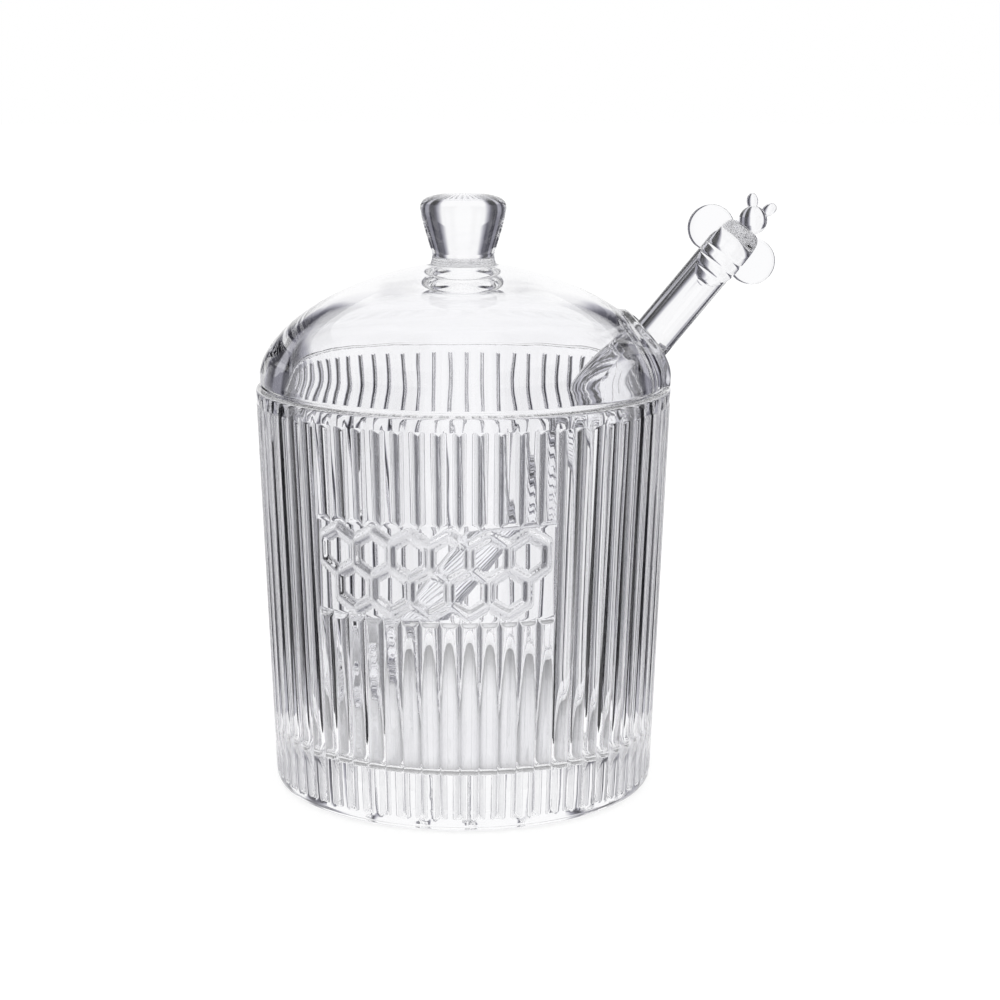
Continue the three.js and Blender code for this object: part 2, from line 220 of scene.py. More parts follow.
class DipperSettings(bpy.types.PropertyGroup):
    """Sizes of the dipper and its bee. Places along the rod run from where it leaves the lid."""

    rod_radius: length("Rod radius", "Radius of the rod", 5.2)
    lean: angle("Lean", "Lean of the rod from upright", 39.1)
    exit_x: length("Exit distance", "Distance of the exit from the pot's axis", 45.6)
    exit_z: length("Exit height", "Height of the exit", 109.1)
    rod_top: length("Rod top", "Place of the middle of the rod's round end", 27)
    head_radius: length("Head radius", "Radius of the ringed head", 8.4)
    head_length: length("Head length", "Length of the ringed head", 25)
    head_rings: count("Rings", "Rings on the head", 5)
    head_groove: length("Ring depth", "Depth of the grooves between the rings", 1.1)
    floor_gap: length("Floor gap", "Gap between the head and the pot's floor", 0.3)
    bee_forward: length("Bee forward", "How far the bee stands in front of the rod", 3.6)
    bee_tail: length("Bee tail", "Place of the bee's tail", 15)
    bee_length: length("Bee length", "Length of the bee's body", 19.2)
    bee_radius: length("Bee radius", "Radius of the bee's body", 5)
    bee_widest: number("Bee widest place", "Share of the body, from its tail, at which it is widest", 0.45)
    bee_blunt: number("Bee bluntness", "How blunt the body is towards the head", 5.0)
    bee_grooves: count("Bee grooves", "Cross grooves that would fill the bee's body", 7)
    grooved_share: number("Grooved share", "Share of the body from its tail that is grooved", 0.62)
    groove_depth: length("Groove depth", "Depth of the cross grooves", 0.35)
    groove_sharpness: number("Groove sharpness", "How narrow the cross grooves are", 14.0)
    bee_head_radius: length("Bee head", "Radius of the bee's head", 3.4)
    bee_head_place: length("Bee head place", "Place of the bee's head", 36.4)
    wing_radius: length("Wing radius", "Radius of a wing", 5.6)
    wing_thickness: length("Wing thickness", "Thickness of a wing", 1.4)
    wing_out: length("Wing spread", "Distance of a wing's middle from the rod's axis", 6.3)
    wing_place: length("Wing place", "Place of the wings", 28.8)
    wing_forward: length("Wing forward", "How far the wings stand in front of the rod", 2)
    feeler_length: length("Feeler length", "Length of a feeler", 3.9)
    feeler_width: length("Feeler width", "Width of a feeler", 2.8)
    feeler_thickness: length("Feeler thickness", "Thickness of a feeler", 1.1)
    feeler_sunk: length("Feeler root", "Length of a feeler that is sunk in the head", 0.87)
    feeler_spread: angle("Feeler spread", "Spread of each feeler from their middle", 30)
    feeler_lean: angle("Feeler lean", "Lean of the feelers' middle from the rod's axis", -12)


class GlassSettings(bpy.types.PropertyGroup):
    """Looks of the clear glass."""

    tint: colour("Tint", "Colour of the clearest glass", (0.985, 0.985, 0.992))
    shade: colour("Shade", "Colour of the faint streaks in the glass", (0.955, 0.955, 0.972))
    refraction: number("Index of refraction", "How strongly the glass bends light", 1.5)
    gloss_loss: number("Gloss loss", "Greatest roughness of the pressed surface", 0.012)
    wave_height: length("Wave height", "Height of the surface's faint waves", 0.1)


class StageSettings(bpy.types.PropertyGroup):
    """Camera, floor and studio light."""

    focal_length: number("Focal length", "Focal length in millimetres on a 36 mm sensor", 84.69)
    camera_back: length("Camera distance", "Distance of the camera in front of the axis", 562.7)
    camera_height: length("Camera height", "Height of the camera over the base", 182.4)
    camera_pitch: angle("Camera pitch", "How far the camera looks down", 11.39)
    camera_shift: number("Camera shift", "Sideways shift of the picture", 0.0367)
    floor_radius: length("Floor radius", "Radius of the floor", 4000)
    floor_middle: length("Floor middle", "Radius of the floor that also shows through the glass", 76)
    # The floor right under the base carries a painted contact shadow: its own glow dims from the shade start
    # out to the shade radius, down to the shade glow.
    painted_shadow_radius: length("Shade radius", "Radius of the shaded floor right under the base", 43)
    painted_shadow_start: length("Shade start", "Radius at which the floor under the base starts to darken", 20)
    painted_shadow_glow: number("Shade glow", "Light that the floor gives by itself where it is darkest", 0.25)
    floor_drop: length("Floor drop", "Gap between the base and the floor", 0.3)
    floor_glow: number("Floor glow", "Light that the pale floor gives by itself", 0.8)
    floor_colour: colour("Floor colour", "Colour of the floor", (0.3, 0.3, 0.3))
    light: number("Light", "Strength of the white surround", 1.0)
    tent_radius: length("Tent radius", "Radius of the light tent round the pot", 500)
    tent_top: length("Tent top", "Height of the tent's upper edge over the floor", 420)
    tent_upper_seam: length("Tent upper seam", "Height at which the tent's top and upper bands meet", 230)
    tent_lower_seam: length("Tent lower seam", "Height at which the tent's upper and lower bands meet", 30)
    tent_depth: length("Tent depth", "Depth of the tent's lower edge under the floor", 900)
    tent_tint: colour("Tent tint", "Colour of the tent's darker parts", (0.8, 0.79, 1.0))


class HoneyPotSettings(bpy.types.PropertyGroup):
    """All settings of the honey pot."""

    pot: PointerProperty(type=PotSettings)
    lid: PointerProperty(type=LidSettings)
    dipper: PointerProperty(type=DipperSettings)
    glass: PointerProperty(type=GlassSettings)
    stage: PointerProperty(type=StageSettings)


# Surfaces


def even_turns(columns):
    """Turns of a number of columns, evenly spaced round the Z axis."""
    return np.linspace(0, FULL_TURN, columns, endpoint=False)


def turned(radius, height, turns):
    """Points round the Z axis. Turn 0 is the front, and turns grow towards +X."""
    radius, height, turns = np.broadcast_arrays(radius, height, turns)
    return np.stack([radius * np.sin(turns), -radius * np.cos(turns), height], axis=-1)


def arc(centre_radius, centre_height, size, start, end, rows=ARC_ROWS):
    """Radius and height of the points of a quarter or other arc, angles in degrees."""
    angles = np.radians(np.linspace(start, end, rows))
    return [(centre_radius + size * math.cos(a), centre_height + size * math.sin(a)) for a in angles]


def superellipse(radius, base, rise, power, start, end):
    """Radius and height of the points of a superellipse between two angles."""
    angles = np.linspace(start, end, PROFILE_SAMPLES)
    across = np.clip(np.cos(angles), 0, 1) ** (2 / power)
    up = np.clip(np.sin(angles), 0, 1) ** (2 / power)
    return np.stack([radius * across, base + rise * up], axis=-1)


def bend(before, corner, after, rows):
    """Points of a smooth bend from before to after, pulled towards the corner between them."""
    shares = np.linspace(0, 1, rows)
    return [(1 - s) ** 2 * before + 2 * s * (1 - s) * corner + s**2 * after for s in shares]


def smoothstep(value, low, high):
    """0 below low, 1 above high, and a smooth rise between them."""
    share = np.clip((value - low) / (high - low), 0, 1)
    return share**2 * (3 - 2 * share)


def closed_surface(name, first_pole, rows, last_pole):
    """A closed mesh of rings of points, each joined to the next, with a pole at each end."""
    columns = len(rows[0])
    points = np.concatenate([[first_pole], *rows, [last_pole]])
    here = np.arange(columns)
    after = np.roll(here, -1)
    last_start = 1 + columns * (len(rows) - 1)
    last = len(points) - 1
    faces = [(0, 1 + b, 1 + a) for a, b in zip(here, after)]
    for start in range(1, last_start, columns):
        upper = start + columns
        faces += np.stack([start + here, start + after, upper + after, upper + here], axis=-1).tolist()
    faces += [(last_start + a, last_start + b, last) for a, b in zip(here, after)]
    mesh = bpy.data.meshes.new(name)
    mesh.from_pydata(points.tolist(), [], faces)
    mesh.validate()
    mesh.shade_smooth()
    piece = bpy.data.objects.new(name, mesh)
    bpy.context.scene.collection.objects.link(piece)
    return piece


def turned_piece(name, profile, columns):
    """A closed piece turned about Z from a profile of radius and height that starts and ends on the axis."""
    turns = even_turns(columns)
    rows = [turned(radius, height, turns) for radius, height in profile[1:-1]]
    return closed_surface(name, (0, 0, profile[0][1]), rows, (0, 0, profile[-1][1]))


# Glass


def glass_material(name, settings, grain):
    """Clear pressed glass with faint waves and streaks. The grain stretches them along each axis."""
    material = bpy.data.materials.new(name)
    material.use_nodes = True
    nodes = material.node_tree.nodes
    links = material.node_tree.links
    shader = nodes["Principled BSDF"]
    shader.inputs["Transmission Weight"].default_value = 1.0
    shader.inputs["IOR"].default_value = settings.refraction

    place = nodes.new("ShaderNodeTexCoord")
    stretch = nodes.new("ShaderNodeMapping")
    stretch.inputs["Scale"].default_value = grain
    links.new(place.outputs["Object"], stretch.inputs["Vector"])

    streaks = noise(nodes, links, stretch, STREAK_SCALE, STREAK_DETAIL)
    tint = nodes.new("ShaderNodeMix")
    tint.data_type = "RGBA"
    tint.inputs["A"].default_value = (*settings.tint, 1)
    tint.inputs["B"].default_value = (*settings.shade, 1)
    links.new(streaks.outputs["Fac"], tint.inputs["Factor"])
    links.new(tint.outputs["Result"], shader.inputs["Base Color"])

    polish = noise(nodes, links, stretch, POLISH_SCALE, POLISH_DETAIL)
    roughness = nodes.new("ShaderNodeMapRange")
    roughness.inputs["From Min"].default_value, roughness.inputs["From Max"].default_value = POLISH_RANGE
    roughness.inputs["To Max"].default_value = settings.gloss_loss
    links.new(polish.outputs["Fac"], roughness.inputs["Value"])
    links.new(roughness.outputs["Result"], shader.inputs["Roughness"])

    waves = noise(nodes, links, stretch, WAVE_SCALE, WAVE_DETAIL)
    bump = nodes.new("ShaderNodeBump")
    bump.inputs["Strength"].default_value = 1.0
    bump.inputs["Distance"].default_value = settings.wave_height
    links.new(waves.outputs["Fac"], bump.inputs["Height"])
    links.new(bump.outputs["Normal"], shader.inputs["Normal"])
    return material


def noise(nodes, links, place, scale, detail):
    """A noise texture read at a place."""
    texture = nodes.new("ShaderNodeTexNoise")
    texture.inputs["Scale"].default_value = scale
    texture.inputs["Detail"].default_value = detail
    links.new(place.outputs["Vector"], texture.inputs["Vector"])
    return texture


def dress(piece, node, material):
    """Gives a piece its glass, and puts it in the place of its solid."""
    piece.data.materials.clear()
    piece.data.materials.append(material)
    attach(piece, "root")
    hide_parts(node)


# Pot


def wall_radius(pot, height):
    """Outer radius of the pot's wall over the reeds' crests."""
    return pot.foot_radius + (pot.rim_radius - pot.foot_radius) * height / pot.height


def reed_pitch(pot):
    """Turn from one reed to the next."""
    return FULL_TURN / pot.rib_count


def pot_turns(pot):
    """Turns of the pot's columns: more of them across the panel, and closer towards the valleys."""
    panel, plain = (
        np.sin(np.linspace(-1, 1, columns, endpoint=False) * QUARTER_TURN) / 2
        for columns in (PANEL_RIB_COLUMNS, RIB_COLUMNS)
    )
    half_panel = pot.panel_ribs // 2
    turns = []
    for rib in range(-half_panel, pot.rib_count - half_panel):
        turns.append(rib + (panel if rib <= half_panel else plain))
    return pot.panel_turn + np.concatenate(turns) * reed_pitch(pot)


def reed_depth(pot, turns, height):
    """Depth of the outside below the reeds' crests: valleys that run out at the tips, and the panel."""
    across = (turns - pot.panel_turn) / reed_pitch(pot)
    from_crest = across - np.round(across)
    run_out = min(height - pot.rib_low_tip, pot.rib_high_tip - height) / pot.rib_end
    valleys = np.minimum(np.abs(2 * from_crest) ** pot.rib_power, np.clip(run_out, 0, 1))
    in_panel = across <= pot.panel_ribs / 2
    panel_end = min(height - pot.panel_low, pot.panel_high - height) / pot.rib_end + 1
    panel = np.where(in_panel, np.clip(panel_end, 0, 1), 0)
    return pot.rib_depth * np.maximum(valleys, panel)


def honeycomb_edges(pot):
    """Ends of the honeycomb's bars on the flat, with the panel's middle as origin, shared edges once."""
    width = math.sqrt(3) * pot.cell_side
    row_step = 3 * pot.cell_side / 2
    spokes = [
        Vector((0, pot.cell_side)) @ Matrix.Rotation(side * FULL_TURN / CELL_SIDES, 2)
        for side in range(CELL_SIDES)
    ]
    edges = {}
    for row, cells in enumerate((pot.upper_cells, pot.lower_cells)):
        for cell in range(cells):
            middle = Vector(((cell - (cells - 1) / 2) * width, row_step / 2 - row * row_step))
            corners = [middle + spoke for spoke in spokes]
            for start, end in zip(corners, corners[1:] + corners[:1]):
                key = tuple(round(x / MM, 1) for x in (start + end) / 2)
                edges[key] = (start, end)
    return list(edges.values())


def honeycomb_rise(pot, turns, height):
    """Height of the rounded honeycomb bars over the panel at each turn."""
    panel_middle = (pot.panel_low + pot.panel_high) / 2
    across = (turns - pot.panel_turn) * wall_radius(pot, panel_middle)
    place = np.stack([across, np.full_like(across, height - panel_middle)], axis=-1)
    nearest = np.full_like(across, np.inf)
    for start, end in honeycomb_edges(pot):
        along = np.array(end - start)
        share = np.clip((place - np.array(start)) @ along / (along @ along), 0, 1)
        off = place - np.array(start) - share[:, None] * along
        nearest = np.minimum(nearest, np.hypot(off[:, 0], off[:, 1]))
    return pot.bar_rise * np.clip(1 - (2 * nearest / pot.bar_width) ** 2, 0, 1)


def reeded_heights(pot):
    """Heights of the rows on the outer wall, closer where the reeds end and across the panel."""
    return np.concatenate([
        np.linspace(pot.rib_low_tip, pot.rib_low_tip + pot.rib_end, RIB_END_ROWS),
        np.linspace(pot.panel_low - pot.rib_end, pot.panel_high + pot.rib_end, PANEL_ROWS),
        np.linspace(pot.rib_high_tip - pot.rib_end, pot.rib_high_tip, RIB_END_ROWS),
    ])


def pot_piece(pot):
    """The pot: a reeded outside, a round rim, and a smooth inside with a round floor."""
    turns = pot_turns(pot)
    foot = arc(wall_radius(pot, pot.foot_corner) - pot.foot_corner, pot.foot_corner, pot.foot_corner, -90, 0)
    rim = arc(pot.rim_radius - pot.rim_round, pot.height - pot.rim_round, pot.rim_round, 0, 90)
    mouth = arc(pot.mouth_radius + pot.rim_round, pot.height - pot.rim_round, pot.rim_round, 90, 180)
    fillet_height = pot.floor_height + pot.floor_fillet
    fillet = arc(pot.floor_radius - pot.floor_fillet, fillet_height, pot.floor_fillet, 0, -90)
    wall = np.linspace(mouth[-1], fillet[0], INNER_WALL_ROWS)[1:-1]
    rows = [turned(foot[0][0] / 2, 0, turns)]
    rows += [turned(radius, height, turns) for radius, height in foot]
    for height in reeded_heights(pot):
        depth = reed_depth(pot, turns, height)
        if pot.panel_low < height < pot.panel_high:
            depth = depth - honeycomb_rise(pot, turns, height)
        rows.append(turned(wall_radius(pot, height) - depth, height, turns))
    inside = [*rim, *mouth, *wall, *fillet, (fillet[-1][0] / 2, pot.floor_height)]
    rows += [turned(radius, height, turns) for radius, height in inside]
    return closed_surface("glass_pot", (0, 0, 0), rows, (0, 0, pot.floor_height))


# Lid


def evened(profile, points=PROFILE_SAMPLES):
    """A profile with a number of points, spaced evenly along it."""
    steps = np.hypot(*np.diff(profile, axis=0).T)
    along = np.concatenate([[0], np.cumsum(steps)])
    even = np.linspace(0, along[-1], points)
    return np.stack([np.interp(even, along, profile[:, k]) for k in range(2)], axis=-1)


def lid_bottom(pot, lid):
    """Height of the lid's flat underside."""
    return pot.height + lid.gap


def dome_profile(pot, lid):
    """Outside of the lid from the knob's skirt to its lower edge."""
    skirt = math.acos((lid.skirt_radius / lid.radius) ** (lid.dome_power / 2))
    dome = superellipse(lid.radius, lid.dome_base, lid.dome_rise, lid.dome_power, skirt, 0)
    return evened(np.concatenate([dome, [(lid.radius, lid_bottom(pot, lid))]]))


def hollow_profile(pot, lid):
    """Inside of the lid from its top to its lower edge."""
    dome = superellipse(
        lid.hollow_radius, lid.hollow_base, lid.hollow_rise, lid.hollow_power, QUARTER_TURN, 0
    )
    return evened(np.concatenate([dome, [(lid.hollow_radius, lid_bottom(pot, lid))]]))


def knob_profile(lid, skirt_height):
    """Outside of the knob from its top to its skirt."""
    rise = lid.knob_top - lid.bulge_height
    top = superellipse(lid.bulge_radius, lid.bulge_height, rise, lid.top_power, QUARTER_TURN, 0)
    heights = np.linspace(lid.bulge_height, skirt_height, KNOB_SIDE_ROWS)[1:-1]
    share = np.clip((heights - lid.waist_height) / (lid.bulge_height - lid.waist_height), 0, 1)
    swell = 1 - (1 - share) ** lid.swell_power
    flare = np.clip((lid.waist_height - heights) / (lid.waist_height - skirt_height), 0, 1) ** lid.flare_power
    radii = lid.waist_radius + (lid.bulge_radius - lid.waist_radius) * swell
    radii = radii + (lid.skirt_radius - lid.waist_radius) * flare
    return np.concatenate([evened(top, KNOB_TOP_ROWS)[1:], np.stack([radii, heights], axis=-1)])


def rod_frame(dipper):
    """The rod's exit, and the directions across the rod towards the lid's edge and along it."""
    start = np.array([dipper.exit_x, 0, dipper.exit_z])
    across = np.array([math.cos(dipper.lean), 0, -math.sin(dipper.lean)])
    along = np.array([math.sin(dipper.lean), 0, math.cos(dipper.lean)])
    return start, across, along


def where_rod_line_leaves(profile, section, dipper):
    """Points at which lines along the rod, through a section of it, pass out of a turned surface."""
    start, across, along = rod_frame(dipper)
    base = start + section[:, :1] * across + section[:, 1:] * np.array([0, 1, 0])
    low = np.full(len(section), -dipper.exit_z)
    high = np.full(len(section), dipper.exit_z)
    for _ in range(BISECTIONS):
        middle = (low + high) / 2
        points = base + middle[:, None] * along
        wall = np.interp(points[:, 2], profile[::-1, 1], profile[::-1, 0], right=0)
        outside = np.hypot(points[:, 0], points[:, 1]) > wall
        high = np.where(outside, middle, high)
        low = np.where(outside, low, middle)
    return base + low[:, None] * along


def notch_edge(profile, dipper, radius):
    """Turn and share along the profile of each column's end: round the notch, then round the lid's edge."""
    edge_radius, edge_height = profile[-1]
    side = math.sqrt(edge_radius**2 - radius**2)
    start, across, _ = rod_frame(dipper)
    reach = (np.array([side, 0, edge_height]) - start) @ across
    climb = np.linspace(reach, 0, NOTCH_SIDE_COLUMNS, endpoint=False)
    sweep = np.linspace(-QUARTER_TURN, QUARTER_TURN, NOTCH_ARC_COLUMNS)
    section = np.concatenate([
        np.stack([climb, np.full_like(climb, -radius)], axis=-1),
        np.stack([-radius * np.cos(sweep), radius * np.sin(sweep)], axis=-1),
        np.stack([climb[::-1], np.full_like(climb, radius)], axis=-1),
    ])
    points = where_rod_line_leaves(profile, section, dipper)
    half_notch = math.asin(radius / edge_radius)
    circle = np.linspace(half_notch, FULL_TURN - half_notch, LID_CIRCLE_COLUMNS + 2)[1:-1]
    turns = np.concatenate([np.arctan2(points[:, 0], -points[:, 1]), QUARTER_TURN + circle])
    shares = np.interp(points[:, 2], profile[::-1, 1], np.linspace(1, 0, len(profile)))
    return turns, np.concatenate([shares, np.ones(LID_CIRCLE_COLUMNS)])


def softened(values, passes):
    """A closed ring of values, averaged with their neighbours a number of times."""
    for _ in range(passes):
        values = (np.roll(values, 1) + 2 * values + np.roll(values, -1)) / 4
    return values


def on_profile(profile, turns, shares):
    """Points on a turned surface, with its outward normals."""
    places = np.linspace(0, 1, len(profile))
    slope = np.gradient(profile, axis=0)
    radius, height, run, climb = (np.interp(shares, places, values) for values in (*profile.T, *slope.T))
    size = np.hypot(run, climb)
    return turned(radius, height, turns), turned(-climb / size, run / size, turns)


def raised_border(points, normals, lid, dipper, notch_radius):
    """Points of the dome, lifted along its normals where the border round the notch stands proud."""
    start, across, _ = rod_frame(dipper)
    sideways = points[:, 1]
    ahead = (points - start) @ across
    beside = np.where(ahead < 0, np.hypot(ahead, sideways), np.abs(sideways)) - notch_radius
    share = 1 - smoothstep(beside, lid.hood_width - lid.hood_soft, lid.hood_width)
    on_notch_side = points[:, 0] > 0
    return points + normals * (lid.hood_rise * share * on_notch_side)[:, None]


def toward(start, end, distance):
    """Points that lie a distance from start on the way to end."""
    step = end - start
    return start + step * (distance / np.linalg.norm(step, axis=-1))[:, None]


def lid_piece(pot, lid, dipper):
    """The lid: one grid from the knob over the dome, round the edge and the notch, and up the hollow."""
    outer = dome_profile(pot, lid)
    inner = hollow_profile(pot, lid)
    notch_radius = dipper.rod_radius + lid.notch_clearance
    columns = 2 * NOTCH_SIDE_COLUMNS + NOTCH_ARC_COLUMNS + LID_CIRCLE_COLUMNS
    notch_columns = columns - LID_CIRCLE_COLUMNS
    first_turn = QUARTER_TURN - (notch_columns - 1) / 2 * FULL_TURN / columns
    top_turns = first_turn + np.arange(columns) * FULL_TURN / columns
    at_notch = softened((np.arange(columns) < notch_columns).astype(float), ROUNDING_SOFTENING)
    rounding = lid.edge_round + (lid.notch_round - lid.edge_round) * at_notch

    def columns_on(profile, share_of_way):
        end_turns, end_shares = notch_edge(profile, dipper, notch_radius)
        end_turns = top_turns + softened(end_turns - top_turns, COLUMN_SOFTENING)
        end_shares = softened(end_shares, COLUMN_SOFTENING)
        turns = top_turns + (end_turns - top_turns) * share_of_way
        return on_profile(profile, turns, end_shares * share_of_way)

    def outside(share_of_way):
        return raised_border(*columns_on(outer, share_of_way), lid, dipper, notch_radius)

    def inside(share_of_way):
        return columns_on(inner, share_of_way)[0]

    outer_length = np.hypot(*np.diff(outer, axis=0).T).sum()
    inner_length = np.hypot(*np.diff(inner, axis=0).T).sum()
    outer_stop = 1 - rounding / outer_length
    inner_stop = 1 - rounding / inner_length
    outer_edge = outside(np.ones(columns))
    inner_edge = inside(np.ones(columns))

    rows = [turned(radius, height, top_turns) for radius, height in knob_profile(lid, outer[0][1])]
    rows += [outside(outer_stop * share) for share in np.linspace(0, 1, DOME_ROWS)[:-1]]
    rows += bend(outside(outer_stop), outer_edge, toward(outer_edge, inner_edge, rounding), ARC_ROWS)
    rows += bend(toward(inner_edge, outer_edge, rounding), inner_edge, inside(inner_stop), ARC_ROWS)
    rows += [inside(inner_stop * share) for share in np.linspace(1, 0, HOLLOW_ROWS)[1:-1]]
    return closed_surface("glass_lid", (0, 0, inner[0][1]), rows[::-1], (0, 0, lid.knob_top))


# Dipper


def dipper_tip(pot, dipper):
    """Place along the rod of the head's tip, at which the leaning head just clears the floor."""
    half = dipper.head_length / 2
    reach = math.hypot(half * math.cos(dipper.lean), dipper.head_radius * math.sin(dipper.lean))
    middle = pot.floor_height + dipper.floor_gap + reach
    return -(dipper.exit_z - middle) / math.cos(dipper.lean) - half


def rod_piece(pot, dipper):
    """The rod with its ringed head, along Z from where it leaves the lid."""
    tip = dipper_tip(pot, dipper)
    shares = np.linspace(0, 1, HEAD_ROWS)
    egg = dipper.head_radius * np.sqrt(np.clip(1 - (2 * shares - 1) ** 2, 0, 1))
    groove = dipper.head_groove * np.cos(math.pi * dipper.head_rings * shares) ** 2
    radii = egg - groove * egg / dipper.head_radius
    past_middle = 2 * shares > 1
    radii = np.where(past_middle, np.maximum(radii, dipper.rod_radius), radii)
    head = np.stack([radii, tip + dipper.head_length * shares], axis=-1)
    top = arc(0, dipper.rod_top, dipper.rod_radius, 0, 90, 2 * ARC_ROWS)
    return turned_piece("dipper_rod", [*head, *top], ROD_COLUMNS)


def bee_body(dipper):
    """The bee's egg-shaped body with thin cross grooves."""
    shares = np.linspace(0, 1, PROFILE_SAMPLES)
    tail = np.sin(QUARTER_TURN * np.clip(shares / dipper.bee_widest, 0, 1))
    ahead = np.clip((shares - dipper.bee_widest) / (1 - dipper.bee_widest), 0, 1)
    shoulder = (1 - ahead**dipper.bee_blunt) ** (1 / dipper.bee_blunt)
    egg = dipper.bee_radius * tail * shoulder
    grooves = np.abs(np.cos(math.pi * dipper.bee_grooves * shares)) ** dipper.groove_sharpness
    half_groove = 1 / (2 * dipper.bee_grooves)
    grooves = np.where((shares > half_groove) & (shares < dipper.grooved_share), grooves, 0)
    radii = np.maximum(egg - dipper.groove_depth * grooves, 0)
    profile = np.stack([radii, dipper.bee_tail + dipper.bee_length * shares], axis=-1)
    body = turned_piece("bee_body", evened(profile, BEE_ROWS), BEE_COLUMNS)
    body.data.transform(Matrix.Translation((0, -dipper.bee_forward, 0)))
    return body


def bee_head(dipper):
    """The bee's round head."""
    profile = arc(0, 0, dipper.bee_head_radius, -90, 90, BEE_HEAD_ROWS)
    head = turned_piece("bee_head", profile, BEE_COLUMNS)
    head.data.transform(Matrix.Translation((0, -dipper.bee_forward, dipper.bee_head_place)))
    return head


def bee_wing(dipper, side):
    """A thin round wing with a round edge."""
    half = dipper.wing_thickness / 2
    edge = arc(dipper.wing_radius - half, 0, half, -90, 90, 2 * ARC_ROWS)
    flat = edge[0][0] / 2
    wing = turned_piece("bee_wing", [(0, -half), (flat, -half), *edge, (flat, half), (0, half)], ROD_COLUMNS)
    place = Matrix.Translation((side * dipper.wing_out, -dipper.wing_forward, dipper.wing_place))
    wing.data.transform(place @ Matrix.Rotation(QUARTER_TURN, 4, "X"))
    return wing


def bee_feeler(dipper, side):
    """A flat petal-shaped feeler on the bee's head."""
    profile = arc(0, 0, 1, -90, 90, BEE_HEAD_ROWS)
    feeler = turned_piece("bee_feeler", profile, FEELER_COLUMNS)
    half_sizes = (dipper.feeler_width / 2, dipper.feeler_thickness / 2, dipper.feeler_length / 2, 1)
    rise = dipper.bee_head_radius + dipper.feeler_length / 2 - dipper.feeler_sunk
    head = Matrix.Translation((0, -dipper.bee_forward, dipper.bee_head_place))
    turn = Matrix.Rotation(dipper.feeler_lean + side * dipper.feeler_spread, 4, "Y")
    feeler.data.transform(head @ turn @ Matrix.Translation((0, 0, rise)) @ Matrix.Diagonal(half_sizes))
    return feeler


def fused(name, pieces):
    """One closed piece from several that overlap."""
    whole, *others = pieces
    for other in others:
        union = whole.modifiers.new("join", "BOOLEAN")
        union.operation = "UNION"
        union.solver = "MANIFOLD"
        union.object = other
        depsgraph = bpy.context.evaluated_depsgraph_get()
        mesh = bpy.data.meshes.new_from_object(whole.evaluated_get(depsgraph))
        whole.modifiers.clear()
        whole.data = mesh
        bpy.data.objects.remove(other)
    whole.name = name
    whole.data.name = name
    whole.data.shade_smooth()
    whole.data.set_sharp_from_angle(angle=math.radians(SHARP_DEGREES))
    return whole


def dipper_piece(pot, dipper):
    """The dipper: its rod, head and bee as one piece of glass, leaning out of the notch."""
    pieces = [rod_piece(pot, dipper), bee_body(dipper), bee_head(dipper)]
    for side in (-1, 1):
        pieces += [bee_wing(dipper, side), bee_feeler(dipper, side)]
    whole = fused("glass_dipper", pieces)
    exit_place = Matrix.Translation((dipper.exit_x, 0, dipper.exit_z))
    whole.data.transform(exit_place @ Matrix.Rotation(dipper.lean, 4, "Y"))
    return whole


# Stage


def plain_material(name, tone, glow):
    """A plain matt stage material that may give some light of its own."""
    material = bpy.data.materials.new(name)
    material.use_nodes = True
    shader = material.node_tree.nodes["Principled BSDF"]
    shader.inputs["Base Color"].default_value = (*tone, 1)
    shader.inputs["Roughness"].default_value = 1.0
    shader.inputs["Specular IOR Level"].default_value = 0.0
    shader.inputs["Emission Color"].default_value = WHITE
    shader.inputs["Emission Strength"].default_value = glow
    return material


def painted_shadow_material(name, stage):
    """The floor right under the base, with a painted contact shadow that makes its glow darker towards the
    base's edge.
    """
    material = plain_material(name, stage.floor_colour, stage.floor_glow)
    nodes = material.node_tree.nodes
    links = material.node_tree.links
    place = nodes.new("ShaderNodeTexCoord")
    radius = nodes.new("ShaderNodeVectorMath")
    radius.operation = "LENGTH"
    links.new(place.outputs["Object"], radius.inputs[0])
    # Painted shadow: the floor's own glow dims towards the base's edge.
    glow = nodes.new("ShaderNodeMapRange")
    glow.inputs["From Min"].default_value = stage.painted_shadow_start
    glow.inputs["From Max"].default_value = stage.painted_shadow_radius
    glow.inputs["To Min"].default_value = stage.floor_glow
    glow.inputs["To Max"].default_value = stage.painted_shadow_glow
    links.new(radius.outputs["Value"], glow.inputs["Value"])
    links.new(glow.outputs["Result"], nodes["Principled BSDF"].inputs["Emission Strength"])
    return material


def stage_sheet(name, points, faces):
    """A thin piece of the stage."""
    mesh = bpy.data.meshes.new(name)
    mesh.from_pydata(points.tolist(), [], faces.tolist())
    mesh.shade_smooth()
    sheet = bpy.data.objects.new(name, mesh)
    bpy.context.scene.collection.objects.link(sheet)
    return sheet


def stage_band(name, first, second):
    """A band of the stage between two rings of radius and height about the pot's axis."""
    rings = [turned(radius, height, even_turns(STAGE_COLUMNS)) for radius, height in (first, second)]
    here = np.arange(STAGE_COLUMNS)
    after = np.roll(here, -1)
    faces = np.stack([here, after, STAGE_COLUMNS + after, STAGE_COLUMNS + here], axis=-1)
    return stage_sheet(name, np.concatenate(rings), faces)


def stage_disc(name, radius, height):
    """A round flat piece of the stage about the pot's axis."""
    edge = turned(radius, height, even_turns(STAGE_COLUMNS))
    return stage_sheet(name, edge, np.arange(STAGE_COLUMNS)[None])


